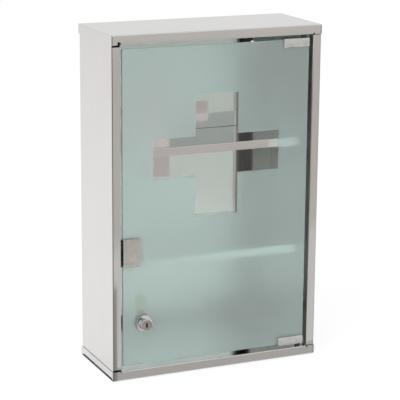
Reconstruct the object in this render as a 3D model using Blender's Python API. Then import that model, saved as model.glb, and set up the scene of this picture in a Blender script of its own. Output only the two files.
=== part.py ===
"""Glass door medical cabinet: a folded stainless steel wall case with two fixed shelves, and a
frosted glass door that swings on pin hinges, closes on a magnet and locks with a cam lock.

The front faces -Y, +Z is up, and the origin is the middle of the base. Lengths are in metres."""

import math

import bmesh
import bpy
from mathutils import Vector

# Case
CASE_WIDTH = 0.300
CASE_DEPTH = 0.120
CASE_HEIGHT = 0.460
SHEET = 0.0008  # thickness of the stainless sheet
INNER_BEND = 0.0004  # inside radius of every fold
BEND_STEPS = 3  # flats that round off a fold
SEAM = 0.0003  # gap where two pieces touch
FRAME_FACE = 0.013  # frame seen around the door, which is also the depth of the caps' skirts
RETURN_DEPTH = 0.012  # how far the frame folds back into the case
STILE_STEP = 0.0005  # the stiles stand this far behind the front of the caps
LOCK_STILE_GAP = 0.0026  # open joint between the ends of the stile by the lock and the caps
HINGE_STILE_GAP = 0.0008  # the same joint by the hinges, which is tighter
CORNER_SEAM = 0.0006  # open seam at the front corners of a cap
RELIEF_MARGIN = 0.0008  # the cut beside the end of a fold clears the bend by this much
OPEN_RELIEF_MARGIN = 0.0028  # and by this much at the top corner by the lock
WELD_FLANGE = 0.012  # flanges at the back that the pieces are welded by
WALL_HOLE_RADIUS = 0.004
WALL_HOLE_FROM_SIDE = 0.045
WALL_HOLE_FROM_END = 0.040

# Shelves
UPPER_SHELF_TOP = 0.3065
LOWER_SHELF_TOP = 0.157
SHELF_LIP = 0.0115  # depth of the folded edges
SHELF_BEHIND_STILE = 0.0065
SHELF_LIP_INSET = 0.006  # the front lip stops this far inside the door opening
SHELF_CORNER = 0.008  # corner cut away beside the front lip

# Door glass
GLASS_THICKNESS = 0.004
GLASS_RECESS = 0.0025  # behind the front of the caps
GLASS_ARRIS = 0.0005
GAP_PULL_SIDE = 0.003
GAP_HINGE_SIDE = 0.005
GAP_ENDS = 0.006
CROSS_WIDTH = 0.181
CROSS_HEIGHT = 0.1635
CROSS_POST = 0.061  # width of the upright bar
CROSS_BAR = 0.053  # height of the level bar
CROSS_DROP = 0.146  # from the top of the glass to the middle of the cross
ETCH_DEPTH = 0.00015  # the clear cross stands this proud of the etched back

# Hinges
CLAMP_LENGTH = 0.038
CLAMP_GRIP = 0.010  # how far a clamp reaches over the glass
CLAMP_WEB = 0.0015
CLAMP_FRONT = 0.0015
CLAMP_BACK = 0.003
CLAMP_EDGE = 0.0007  # softened edges
PAD_THICKNESS = 0.0008
PAD_MARGIN = 0.0015  # the pad stops this far inside the clamp's ends
GRUB_PITCH = 0.018
PIN_INSET = 0.0065  # from the edge of the glass to the hinge axis
PIN_RADIUS = 0.0019
PIN_PAST_LIP = 0.0018
BUSH_WALL = 0.0007
BUSH_RIM = 0.001  # how far its flange stands out
BUSH_PAST_LIP = 0.0012

# Pull
PULL_WIDTH = 0.024
PULL_HEIGHT = 0.0375
PULL_FRONT = 0.0055
PULL_BACK = 0.003
PULL_WEB = 0.0012
PULL_RISE = 0.017  # from the lower shelf to the middle of the pull
PULL_LIP_HEIGHT = 0.005
PULL_LIP_DEPTH = 0.0022
PULL_EDGE = 0.0004

# Magnet catch
CATCH_WALL = 0.0027  # plastic round the magnet
MAGNET_WIDTH = 0.012
MAGNET_HEIGHT = 0.006
MAGNET_DEPTH = 0.008
MAGNET_STANDS_OUT = 0.0006
CATCH_SCREW_RADIUS = 0.0014
CATCH_SCREW_HEAD_RADIUS = 0.0027
CATCH_SCREW_HEAD = 0.0016
CATCH_SCREW_PAST_SHELF = 0.0025
CATCH_SCREW_FROM_LIP = 0.0055
CATCH_SCREW_PITCH = 0.0065
CATCH_SCREW_EDGE = 0.0045  # from the rear screw to the back of the housing

# Lock
LOCK_FROM_EDGE = 0.029
LOCK_FROM_BOTTOM = 0.057
LOCK_FLANGE = 0.0022
LOCK_FLANGE_RIM = 0.0024  # how far the flange stands out from the barrel
LOCK_EDGE = 0.0008
NOSE_LENGTH = 0.0085
NOSE_WALL = 0.0014
BARREL_WALL = 0.0027
GASKET = 0.0008
WASHER = 0.001
WASHER_RIM = 0.0027
NUT = 0.004
NUT_WALL = 0.0019
PLUG_RADIUS = 0.0058
PLUG_HEAD = 0.0012  # thickness of the plug's front shoulder
PLUG_HEAD_STEP = 0.0008
KEYWAY_WIDTH = 0.0024
WAFERS = 4
WAFER_THICKNESS = 0.0006
WAFER_SIDE = 0.0011  # metal beside the key
WAFER_END = 0.0014  # metal above and below the key
WAFER_PITCH = 0.003
FIRST_WAFER = 0.004  # from the plug's face
TAIL_SIDE = 0.0056
CAM_THICKNESS = 0.0016
CAM_WIDTH = 0.0126
CAM_OVERLAP = 0.005  # how far the turned cam reaches behind the stile
CAM_CLEARANCE = 0.0008
CAM_CORNER = 0.0015
CAM_SCREW_RADIUS = 0.0016
CAM_SCREW_HEAD_RADIUS = 0.0036
CAM_SCREW_HEAD = 0.0022
CAM_SCREW_LENGTH = 0.0055

# Screws
SCREW_CROWN = 0.7  # flat top of a pan head, as a share of its width
SCREW_SLOT = 0.0006
SCREW_SLOT_DEPTH = 0.5  # share of the head's height
GRUB_RADIUS = 0.0015
HEX_KEY = 0.0015  # across the flats of a grub screw's socket
HEX_KEY_DEPTH = 0.0013

ROUND_STEPS = 32
SMALL_ROUND_STEPS = 20
CUTTER_OVERRUN = 0.001  # cutters run this far past what they cut
MERGE = 1e-6
SHARP_ANGLE = math.radians(35)

# Planes and axes worked out from the sizes above
HALF_WIDTH = CASE_WIDTH / 2
FRONT = -CASE_DEPTH / 2
BACK = CASE_DEPTH / 2
LAP = SHEET + SEAM  # one sheet and the gap behind it
BEND = SHEET + INNER_BEND
FOLD_RELIEF = BEND + RELIEF_MARGIN
OPEN_RELIEF = BEND + OPEN_RELIEF_MARGIN
FOLD_STEP = BEND + SEAM  # a sheet runs on past the end of a fold from here
CORNER_SEAM_X = HALF_WIDTH - BEND - SEAM - CORNER_SEAM / 2
SIDE_X = HALF_WIDTH - LAP
SIDE_BACK = BACK - LAP
OPENING_X = HALF_WIDTH - FRAME_FACE
CAP_LIP_X = OPENING_X - SEAM
OPENING_LOW = FRAME_FACE
OPENING_HIGH = CASE_HEIGHT - FRAME_FACE
STILE_FRONT = FRONT + STILE_STEP
STILE_BACK = STILE_FRONT + RETURN_DEPTH
SHELF_FRONT = STILE_BACK + SHELF_BEHIND_STILE
SHELF_X = SIDE_X - LAP
SHELF_BACK = SIDE_BACK - LAP

GLASS_FRONT = FRONT + GLASS_RECESS
GLASS_BACK = GLASS_FRONT + GLASS_THICKNESS
GLASS_LEFT = -OPENING_X + GAP_PULL_SIDE
GLASS_RIGHT = OPENING_X - GAP_HINGE_SIDE
GLASS_LOW = OPENING_LOW + GAP_ENDS
GLASS_HIGH = OPENING_HIGH - GAP_ENDS

HINGE_X = GLASS_RIGHT - PIN_INSET
HINGE_Y = (GLASS_FRONT + GLASS_BACK) / 2
BUSH_BORE = PIN_RADIUS + SEAM
BUSH_RADIUS = BUSH_BORE + BUSH_WALL
BUSH_FLANGE_RADIUS = BUSH_RADIUS + BUSH_RIM
CLAMP_INNER_BACK = GLASS_BACK + SEAM + PAD_THICKNESS + SEAM

PULL_LEFT = GLASS_LEFT - SEAM - PULL_WEB
PULL_MIDDLE_X = PULL_LEFT + PULL_WIDTH / 2
PULL_MIDDLE_Z = LOWER_SHELF_TOP + PULL_RISE
PULL_REAR = GLASS_BACK + SEAM + PULL_BACK

CATCH_WIDTH = MAGNET_WIDTH + 2 * (SEAM + CATCH_WALL)
CATCH_HEIGHT = MAGNET_HEIGHT + 2 * (SEAM + CATCH_WALL)
CATCH_SEAT = CATCH_SCREW_FROM_LIP + CATCH_SCREW_PITCH + CATCH_SCREW_EDGE

LOCK_X = GLASS_LEFT + LOCK_FROM_EDGE
LOCK_Z = GLASS_LOW + LOCK_FROM_BOTTOM
PLUG_BORE = PLUG_RADIUS + SEAM
PLUG_HEAD_RADIUS = PLUG_RADIUS + PLUG_HEAD_STEP
NOSE_RADIUS = PLUG_HEAD_RADIUS + SEAM + NOSE_WALL
BARREL_RADIUS = PLUG_BORE + BARREL_WALL
BARREL_HOLE = BARREL_RADIUS + SEAM
LOCK_FLANGE_RADIUS = BARREL_RADIUS + LOCK_FLANGE_RIM
WAFER_WIDTH = KEYWAY_WIDTH + 2 * (SEAM + WAFER_SIDE)
WAFER_HALF_HEIGHT = math.sqrt(PLUG_RADIUS**2 - (WAFER_WIDTH / 2) ** 2) - SEAM
KEYWAY_HEIGHT = 2 * (WAFER_HALF_HEIGHT - WAFER_END - SEAM)
KEYWAY_DEPTH = FIRST_WAFER + WAFERS * WAFER_PITCH
FLANGE_BACK = GLASS_FRONT - SEAM - GASKET - SEAM
FLANGE_FRONT = FLANGE_BACK - LOCK_FLANGE
NOSE_FRONT = FLANGE_FRONT - NOSE_LENGTH
WASHER_FRONT = GLASS_BACK + SEAM
NUT_FRONT = WASHER_FRONT + WASHER + SEAM
CAM_FRONT = max(STILE_BACK + CAM_CLEARANCE, NUT_FRONT + NUT + CAM_CLEARANCE)
CAM_BACK = CAM_FRONT + CAM_THICKNESS
CAM_REACH = LOCK_X + OPENING_X + CAM_OVERLAP
BARREL_BACK = CAM_FRONT - SEAM
PLUG_FRONT = NOSE_FRONT + SEAM
TAIL_BACK = CAM_BACK - SEAM

# Finish: colour, roughness, metallic
POLISHED_STEEL = ((0.78, 0.77, 0.75), 0.18, 1.0)
SATIN_STEEL = ((0.70, 0.70, 0.68), 0.32, 1.0)
CHROME = ((0.80, 0.80, 0.80), 0.10, 1.0)
YELLOW_ZINC = ((0.68, 0.64, 0.46), 0.38, 1.0)
BRASS = ((0.72, 0.55, 0.28), 0.30, 1.0)
FROSTED_GLASS = ((0.62, 0.72, 0.68), 0.45, 0.0)
WHITE_PLASTIC = ((0.82, 0.82, 0.80), 0.45, 0.0)
DARK_NYLON = ((0.05, 0.05, 0.05), 0.50, 0.0)
BLACK_RUBBER = ((0.03, 0.03, 0.03), 0.80, 0.0)
FERRITE = ((0.09, 0.09, 0.10), 0.60, 0.0)


def clear_scene():
    """Empty the scene."""
    for old in list(bpy.data.objects):
        bpy.data.objects.remove(old, do_unlink=True)


def material_of(name, finish):
    """A plain material for one piece."""
    colour, roughness, metallic = finish
    material = bpy.data.materials.new(name + "_finish")
    material.use_nodes = True
    shader = material.node_tree.nodes["Principled BSDF"]
    shader.inputs["Base Color"].default_value = (*colour, 1.0)
    shader.inputs["Roughness"].default_value = roughness
    shader.inputs["Metallic"].default_value = metallic
    return material


def axis_empty(name, place, parent=None):
    """An empty that stands on a joint's axis and carries what moves with it."""
    empty = bpy.data.objects.new(name, None)
    empty.parent = parent
    empty.location = Vector(place) - origin_of(parent)
    bpy.context.scene.collection.objects.link(empty)
    return empty


def origin_of(parent):
    """World position of an empty, through its own parents."""
    place = Vector()
    while parent:
        place += parent.location
        parent = parent.parent
    return place


def add_object(name, shape, parent):
    """Turn a shape built in world coordinates into an object under its parent's axis."""
    bmesh.ops.translate(shape, verts=shape.verts, vec=-origin_of(parent))
    mesh = bpy.data.meshes.new(name)
    shape.to_mesh(mesh)
    shape.free()
    mesh.shade_smooth()
    mesh.set_sharp_from_angle(angle=SHARP_ANGLE)
    made = bpy.data.objects.new(name, mesh)
    made.parent = parent
    bpy.context.scene.collection.objects.link(made)
    return made


def add_part(name, shape, finish, parent):
    """A visible piece with its own material."""
    part = add_object(name, shape, parent)
    part.data.materials.append(material_of(name, finish))
    return part


def combine(part, name, shape, operation="DIFFERENCE"):
    """Cut a hidden shape out of a piece, or join it on."""
    tool = add_object(part.name + "_" + name, shape, part.parent)
    tool.hide_render = True
    tool.display_type = "WIRE"
    modifier = part.modifiers.new(name, "BOOLEAN")
    modifier.operation = operation
    modifier.solver = "EXACT"
    modifier.object = tool


def soften(part, width, steps=2):
    """Round off the sharp edges of a piece."""
    modifier = part.modifiers.new("softened_edges", "BEVEL")
    modifier.width = width
    modifier.segments = steps
    modifier.limit_method = "ANGLE"
    modifier.angle_limit = SHARP_ANGLE


def prism(outline, axis, low, high):
    """An outline carried along X, Y or Z. Its points are the other two coordinates, in order."""
    place = {
        "X": lambda point, along: (along, point[0], point[1]),
        "Y": lambda point, along: (point[0], along, point[1]),
        "Z": lambda point, along: (point[0], point[1], along),
    }[axis]
    shape = bmesh.new()
    base = shape.faces.new([shape.verts.new(place(point, low)) for point in outline])
    grown = bmesh.ops.extrude_face_region(shape, geom=[base])["geom"]
    moved = [item for item in grown if isinstance(item, bmesh.types.BMVert)]
    bmesh.ops.translate(shape, verts=moved, vec=place((0, 0), high - low))
    bmesh.ops.recalc_face_normals(shape, faces=shape.faces)
    return shape


def block(low, high):
    """A box between two corners."""
    outline = [(low[0], low[1]), (high[0], low[1]), (high[0], high[1]), (low[0], high[1])]
    return prism(outline, "Z", low[2], high[2])


def turned(profile, axis, centre, steps=ROUND_STEPS):
    """A closed profile of (radius, position along the axis) turned about a line along Y or Z."""
    if axis == "Y":
        points = [(centre[0] + radius, along, centre[1]) for radius, along in profile]
        middle, direction = (centre[0], 0, centre[1]), (0, 1, 0)
    else:
        points = [(centre[0] + radius, centre[1], along) for radius, along in profile]
        middle, direction = (centre[0], centre[1], 0), (0, 0, 1)
    shape = bmesh.new()
    corners = [shape.verts.new(point) for point in points]
    edges = [shape.edges.new((a, b)) for a, b in zip(corners, corners[1:] + corners[:1])]
    bmesh.ops.spin(
        shape,
        geom=corners + edges,
        cent=middle,
        axis=direction,
        angle=2 * math.pi,
        steps=steps,
        use_merge=True,
    )
    bmesh.ops.remove_doubles(shape, verts=shape.verts, dist=MERGE)
    on_axis = [edge for edge in shape.edges if not edge.link_faces]
    bmesh.ops.delete(shape, geom=on_axis, context="EDGES")
    bmesh.ops.recalc_face_normals(shape, faces=shape.faces)
    return shape


def rod(radius, axis, centre, low, high, steps=SMALL_ROUND_STEPS):
    """A plain round bar."""
    return turned([(0, low), (radius, low), (radius, high), (0, high)], axis, centre, steps)


def merged(shapes):
    """Several shapes that don't meet, as one."""
    together = bmesh.new()
    for shape in shapes:
        mesh = bpy.data.meshes.new("merged")
        shape.to_mesh(mesh)
        shape.free()
        together.from_mesh(mesh)
        bpy.data.meshes.remove(mesh)
    return together


def hexagon(across_flats, centre):
    """The corners of a hexagon with its points to either side."""
    corner = across_flats / math.sqrt(3)
    turns = [math.radians(60 * step) for step in range(6)]
    return [(centre[0] + corner * math.cos(a), centre[1] + corner * math.sin(a)) for a in turns]


def pan_screw(name, axis, centre, radius, tip, seat, head_radius, head, parent):
    """A slotted pan head screw along Y or Z, from its tip to the top of its head."""
    top = seat + head
    profile = [
        (0, tip),
        (radius, tip),
        (radius, seat),
        (head_radius, seat),
        (head_radius, seat + head / 2),
        (head_radius * SCREW_CROWN, top),
        (0, top),
    ]
    part = add_part(name, turned(profile, axis, centre, SMALL_ROUND_STEPS), CHROME, parent)
    half, reach = SCREW_SLOT / 2, head_radius + CUTTER_OVERRUN
    outline = [
        (centre[0] - reach, centre[1] - half),
        (centre[0] + reach, centre[1] - half),
        (centre[0] + reach, centre[1] + half),
        (centre[0] - reach, centre[1] + half),
    ]
    slot = prism(outline, axis, top - head * SCREW_SLOT_DEPTH, top + CUTTER_OVERRUN)
    combine(part, "driver_slot", slot)


def grub_screw(name, centre, tip, end, parent):
    """A headless screw along Y, with a hexagon socket in its end."""
    part = add_part(name, rod(GRUB_RADIUS, "Y", centre, tip, end), SATIN_STEEL, parent)
    socket = prism(hexagon(HEX_KEY, centre), "Y", end - HEX_KEY_DEPTH, end + CUTTER_OVERRUN)
    combine(part, "socket", socket)


def folded_sheet(name, panels, core, finish):
    """A piece folded from sheet.

    Panels are its flat outer faces, and core is a point inside the fold."""
    shape = bmesh.new()
    for panel in panels:
        shape.faces.new([shape.verts.new(point) for point in panel])
    bmesh.ops.remove_doubles(shape, verts=shape.verts, dist=MERGE)
    bmesh.ops.recalc_face_normals(shape, faces=shape.faces)
    facing = sum(
        face.calc_area() * face.normal.dot(face.calc_center_median() - Vector(core))
        for face in shape.faces
    )
    if facing < 0:
        bmesh.ops.reverse_faces(shape, faces=shape.faces)
    folds = [edge for edge in shape.edges if len(edge.link_faces) == 2]
    bmesh.ops.bevel(
        shape,
        geom=folds,
        offset=BEND,
        offset_type="OFFSET",
        segments=BEND_STEPS,
        profile=0.5,
        affect="EDGES",
    )
    part = add_part(name, shape, finish, None)
    wall = part.modifiers.new("sheet", "SOLIDIFY")
    wall.thickness = SHEET
    wall.offset = -1
    wall.use_even_offset = True
    wall.use_quality_normals = True
    return part


def cap(name, outer, inward, relief):
    """The top or bottom tray: a plate, three skirts and the lip that frames the door opening.

    The front is cut back by relief beside the end of the lip that is by the lock."""
    low = outer + inward * FRAME_FACE
    lip_back = FRONT + RETURN_DEPTH
    plate = [
        (-HALF_WIDTH, FRONT, outer),
        (HALF_WIDTH, FRONT, outer),
        (HALF_WIDTH, BACK, outer),
        (-HALF_WIDTH, BACK, outer),
    ]
    front = [
        (-HALF_WIDTH, FRONT, outer),
        (HALF_WIDTH, FRONT, outer),
        (HALF_WIDTH, FRONT, low),
        (OPENING_X + FOLD_RELIEF, FRONT, low),
        (OPENING_X + FOLD_RELIEF, FRONT, low - inward * FOLD_RELIEF),
        (CAP_LIP_X, FRONT, low - inward * FOLD_RELIEF),
        (CAP_LIP_X, FRONT, low),
        (-CAP_LIP_X, FRONT, low),
        (-CAP_LIP_X, FRONT, low - inward * relief),
        (-OPENING_X - relief, FRONT, low - inward * relief),
        (-OPENING_X - relief, FRONT, low),
        (-HALF_WIDTH, FRONT, low),
    ]
    lip = [
        (-CAP_LIP_X, FRONT, low),
        (CAP_LIP_X, FRONT, low),
        (CAP_LIP_X, lip_back, low),
        (-CAP_LIP_X, lip_back, low),
    ]
    sides = [
        [(x, FRONT, outer), (x, BACK, outer), (x, BACK, low), (x, FRONT, low)]
        for x in (-HALF_WIDTH, HALF_WIDTH)
    ]
    core = (0, 0, outer + inward * FRAME_FACE / 2)
    part = folded_sheet(name, [plate, front, lip, *sides], core, POLISHED_STEEL)
    ends = sorted((low - inward * (SHEET + CUTTER_OVERRUN), low + inward * CUTTER_OVERRUN))
    hole = rod(BUSH_RADIUS + SEAM, "Z", (HINGE_X, HINGE_Y), *ends)
    seam_low, seam_high = sorted((outer + inward * (BEND + SEAM), low + inward * CUTTER_OVERRUN))
    seams = [
        block(
            (middle - CORNER_SEAM / 2, FRONT - CUTTER_OVERRUN, seam_low),
            (middle + CORNER_SEAM / 2, FRONT + SHEET + CUTTER_OVERRUN, seam_high),
        )
        for middle in (CORNER_SEAM_X, -CORNER_SEAM_X)
    ]
    combine(part, "bush_hole_and_seams", merged([hole, *seams]))


def side_panel(name, side, gap):
    """A side of the case, folded round in front to make the stile, its return and a closing lip.

    The return and the lip run on into both caps, so that nothing shows through the open joints."""
    out = side * SIDE_X
    inner = side * OPENING_X
    lip_end = side * (SIDE_X - LAP)
    flange = side * (SIDE_X - WELD_FLANGE)
    end_low, end_high = LAP, CASE_HEIGHT - LAP
    stile_low, stile_high = OPENING_LOW + gap, OPENING_HIGH - gap
    flange_low, flange_high = end_low + LAP, end_high - LAP
    step = STILE_FRONT + FOLD_STEP
    rear_step = SIDE_BACK - FOLD_RELIEF
    wall = [
        (out, STILE_FRONT, stile_low),
        (out, STILE_FRONT, stile_high),
        (out, step, stile_high),
        (out, step, end_high),
        (out, rear_step, end_high),
        (out, rear_step, flange_high),
        (out, SIDE_BACK, flange_high),
        (out, SIDE_BACK, flange_low),
        (out, rear_step, flange_low),
        (out, rear_step, end_low),
        (out, step, end_low),
        (out, step, stile_low),
    ]
    stile = [
        (out, STILE_FRONT, stile_low),
        (inner, STILE_FRONT, stile_low),
        (inner, STILE_FRONT, stile_high),
        (out, STILE_FRONT, stile_high),
    ]
    stile_return = [
        (inner, STILE_FRONT, stile_low),
        (inner, STILE_FRONT, stile_high),
        (inner, step, stile_high),
        (inner, step, end_high),
        (inner, STILE_BACK, end_high),
        (inner, STILE_BACK, end_low),
        (inner, step, end_low),
        (inner, step, stile_low),
    ]
    closing_lip = [
        (inner, STILE_BACK, end_low),
        (lip_end, STILE_BACK, end_low),
        (lip_end, STILE_BACK, end_high),
        (inner, STILE_BACK, end_high),
    ]
    weld_flange = [
        (out, SIDE_BACK, flange_low),
        (flange, SIDE_BACK, flange_low),
        (flange, SIDE_BACK, flange_high),
        (out, SIDE_BACK, flange_high),
    ]
    core = ((out + inner) / 2, 0, CASE_HEIGHT / 2)
    panels = [wall, stile, stile_return, closing_lip, weld_flange]
    folded_sheet(name, panels, core, POLISHED_STEEL)


def back_panel():
    """The back, with flanges under the caps and holes for four wall screws."""
    half = SIDE_X - LAP
    low, high = LAP, CASE_HEIGHT - LAP
    plate = [(-half, BACK, low), (half, BACK, low), (half, BACK, high), (-half, BACK, high)]
    flanges = [
        [
            (-half, BACK, z),
            (half, BACK, z),
            (half, BACK - WELD_FLANGE, z),
            (-half, BACK - WELD_FLANGE, z),
        ]
        for z in (low, high)
    ]
    part = folded_sheet("back_panel", [plate, *flanges], (0, 0, CASE_HEIGHT / 2), POLISHED_STEEL)
    hole_x = HALF_WIDTH - WALL_HOLE_FROM_SIDE
    rows = (WALL_HOLE_FROM_END, CASE_HEIGHT - WALL_HOLE_FROM_END)
    ends = (BACK - SHEET - CUTTER_OVERRUN, BACK + CUTTER_OVERRUN)
    holes = [rod(WALL_HOLE_RADIUS, "Y", (x, z), *ends) for x in (-hole_x, hole_x) for z in rows]
    combine(part, "wall_holes", merged(holes))


def shelf(name, top):
    """A shelf with its edges folded down, welded between the sides."""
    low = top - SHELF_LIP
    lip_x = OPENING_X - SHELF_LIP_INSET
    corner_y = SHELF_FRONT + SHELF_CORNER
    plate = [
        (-lip_x, SHELF_FRONT, top),
        (lip_x, SHELF_FRONT, top),
        (lip_x, corner_y, top),
        (SHELF_X, corner_y, top),
        (SHELF_X, SHELF_BACK, top),
        (-SHELF_X, SHELF_BACK, top),
        (-SHELF_X, corner_y, top),
        (-lip_x, corner_y, top),
    ]
    lip = [
        (-lip_x, SHELF_FRONT, top),
        (lip_x, SHELF_FRONT, top),
        (lip_x, SHELF_FRONT, low),
        (-lip_x, SHELF_FRONT, low),
    ]
    sides = [
        [(x, corner_y, top), (x, SHELF_BACK, top), (x, SHELF_BACK, low), (x, corner_y, low)]
        for x in (-SHELF_X, SHELF_X)
    ]
    rear = [
        (-SHELF_X, SHELF_BACK, top),
        (SHELF_X, SHELF_BACK, top),
        (SHELF_X, SHELF_BACK, low),
        (-SHELF_X, SHELF_BACK, low),
    ]
    core = (0, (SHELF_FRONT + SHELF_BACK) / 2, low)
    return folded_sheet(name, [plate, lip, rear, *sides], core, POLISHED_STEEL)


def catch_screw_places():
    """Where the two screws of the magnet catch go, by name."""
    first = SHELF_FRONT + CATCH_SCREW_FROM_LIP
    return {"front": (PULL_MIDDLE_X, first), "rear": (PULL_MIDDLE_X, first + CATCH_SCREW_PITCH)}


def magnet_catch(lower_shelf):
    """A magnet in a plastic housing, screwed to the lower shelf behind the door pull."""
    magnet_front = PULL_REAR + SEAM
    front = magnet_front + MAGNET_STANDS_OUT
    rear = SHELF_FRONT + CATCH_SEAT
    bottom = LOWER_SHELF_TOP + SEAM
    top = bottom + CATCH_HEIGHT
    half, half_magnet = CATCH_WIDTH / 2, MAGNET_WIDTH / 2
    magnet_low = bottom + (CATCH_HEIGHT - MAGNET_HEIGHT) / 2
    magnet_high = magnet_low + MAGNET_HEIGHT
    magnet_rear = magnet_front + MAGNET_DEPTH
    housing = add_part(
        "catch_housing",
        block((PULL_MIDDLE_X - half, front, bottom), (PULL_MIDDLE_X + half, rear, top)),
        WHITE_PLASTIC,
        None,
    )
    pocket = block(
        (PULL_MIDDLE_X - half_magnet - SEAM, front - CUTTER_OVERRUN, magnet_low - SEAM),
        (PULL_MIDDLE_X + half_magnet + SEAM, magnet_rear + SEAM, magnet_high + SEAM),
    )
    soften(housing, CLAMP_EDGE)
    combine(housing, "magnet_pocket", pocket)
    add_part(
        "catch_magnet",
        block(
            (PULL_MIDDLE_X - half_magnet, magnet_front, magnet_low),
            (PULL_MIDDLE_X + half_magnet, magnet_rear, magnet_high),
        ),
        FERRITE,
        None,
    )
    tip = LOWER_SHELF_TOP - SHEET - CATCH_SCREW_PAST_SHELF
    seat = top + SEAM
    hole_ends = (tip - CUTTER_OVERRUN, seat + CUTTER_OVERRUN)
    places = catch_screw_places()
    for part in (housing, lower_shelf):
        holes = [rod(CATCH_SCREW_RADIUS + SEAM, "Z", place, *hole_ends) for place in places.values()]
        combine(part, "screw_holes", merged(holes))
    head = (CATCH_SCREW_HEAD_RADIUS, CATCH_SCREW_HEAD)
    for where, place in places.items():
        name = f"catch_screw_{where}"
        pan_screw(name, "Z", place, CATCH_SCREW_RADIUS, tip, seat, *head, None)


def cross_outline():
    """The cross on the glass, as X and Z points round its edge."""
    x = (GLASS_LEFT + GLASS_RIGHT) / 2
    z = GLASS_HIGH - CROSS_DROP
    arm, post = CROSS_WIDTH / 2, CROSS_POST / 2
    rise, bar = CROSS_HEIGHT / 2, CROSS_BAR / 2
    quarter = [(arm, bar), (post, bar), (post, rise)]
    points = quarter + [(-a, b) for a, b in reversed(quarter)]
    points += [(-a, -b) for a, b in quarter] + [(a, -b) for a, b in reversed(quarter)]
    return [(x + a, z + b) for a, b in points]


def door_glass(door):
    """The glass pane, with a hole for the lock and the clear cross proud of its etched back."""
    pane = block((GLASS_LEFT, GLASS_FRONT, GLASS_LOW), (GLASS_RIGHT, GLASS_BACK, GLASS_HIGH))
    part = add_part("door_glass", pane, FROSTED_GLASS, door)
    soften(part, GLASS_ARRIS, 1)
    ends = (GLASS_FRONT - CUTTER_OVERRUN, GLASS_BACK + CUTTER_OVERRUN)
    hole = rod(BARREL_HOLE, "Y", (LOCK_X, LOCK_Z), *ends, ROUND_STEPS)
    combine(part, "lock_hole", hole)
    cross = prism(cross_outline(), "Y", HINGE_Y, GLASS_BACK + ETCH_DEPTH)
    combine(part, "clear_cross", cross, "UNION")


def hinge(end, edge, outward, lip, door):
    """One door hinge: a clamp on the glass with its pad and grub screws, a pin, and a bush.

    The edge of the glass, the way out from it and the frame's lip are heights along Z."""
    web_in = edge + outward * SEAM
    web_out = web_in + outward * CLAMP_WEB
    grip = edge - outward * CLAMP_GRIP
    outer_front = GLASS_FRONT - SEAM - CLAMP_FRONT
    outer_back = CLAMP_INNER_BACK + CLAMP_BACK
    left = GLASS_RIGHT - CLAMP_LENGTH
    channel = [
        (outer_front, grip),
        (outer_front, web_out),
        (outer_back, web_out),
        (outer_back, grip),
        (CLAMP_INNER_BACK, grip),
        (CLAMP_INNER_BACK, web_in),
        (GLASS_FRONT - SEAM, web_in),
        (GLASS_FRONT - SEAM, grip),
    ]
    clamp = add_part(f"{end}_hinge_clamp", prism(channel, "X", left, GLASS_RIGHT), CHROME, door)
    soften(clamp, CLAMP_EDGE)
    pad_ends = sorted((grip, edge))
    pad = block(
        (left + PAD_MARGIN, GLASS_BACK + SEAM, pad_ends[0]),
        (GLASS_RIGHT - PAD_MARGIN, GLASS_BACK + SEAM + PAD_THICKNESS, pad_ends[1]),
    )
    add_part(f"{end}_hinge_pad", pad, BLACK_RUBBER, door)

    middle = ((left + GLASS_RIGHT) / 2, (grip + edge) / 2)
    rear = outer_back - CLAMP_EDGE
    holes = []
    for which, offset in (("left", -GRUB_PITCH / 2), ("right", GRUB_PITCH / 2)):
        place = (middle[0] + offset, middle[1])
        grub_screw(f"{end}_hinge_grub_{which}", place, CLAMP_INNER_BACK, rear, door)
        ends = (CLAMP_INNER_BACK - SEAM / 2, outer_back + CUTTER_OVERRUN)
        holes.append(rod(GRUB_RADIUS + SEAM, "Y", place, *ends))

    axis = (HINGE_X, HINGE_Y)
    pin_tip = lip + outward * (SHEET + PIN_PAST_LIP)
    pin = rod(PIN_RADIUS, "Z", axis, *sorted((web_in, pin_tip)))
    add_part(f"{end}_hinge_pin", pin, SATIN_STEEL, door)
    hole_ends = sorted((web_in - outward * SEAM / 2, web_out + outward * CUTTER_OVERRUN))
    holes.append(rod(PIN_RADIUS + SEAM, "Z", axis, *hole_ends))
    combine(clamp, "holes", merged(holes))

    seat = web_out + outward * SEAM
    shoulder = lip - outward * SEAM
    bush_end = lip + outward * (SHEET + BUSH_PAST_LIP)
    profile = [
        (BUSH_BORE, seat),
        (BUSH_FLANGE_RADIUS, seat),
        (BUSH_FLANGE_RADIUS, shoulder),
        (BUSH_RADIUS, shoulder),
        (BUSH_RADIUS, bush_end),
        (BUSH_BORE, bush_end),
    ]
    bush = turned(profile, "Z", axis, SMALL_ROUND_STEPS)
    add_part(f"{end}_hinge_bush", bush, DARK_NYLON, None)


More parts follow.
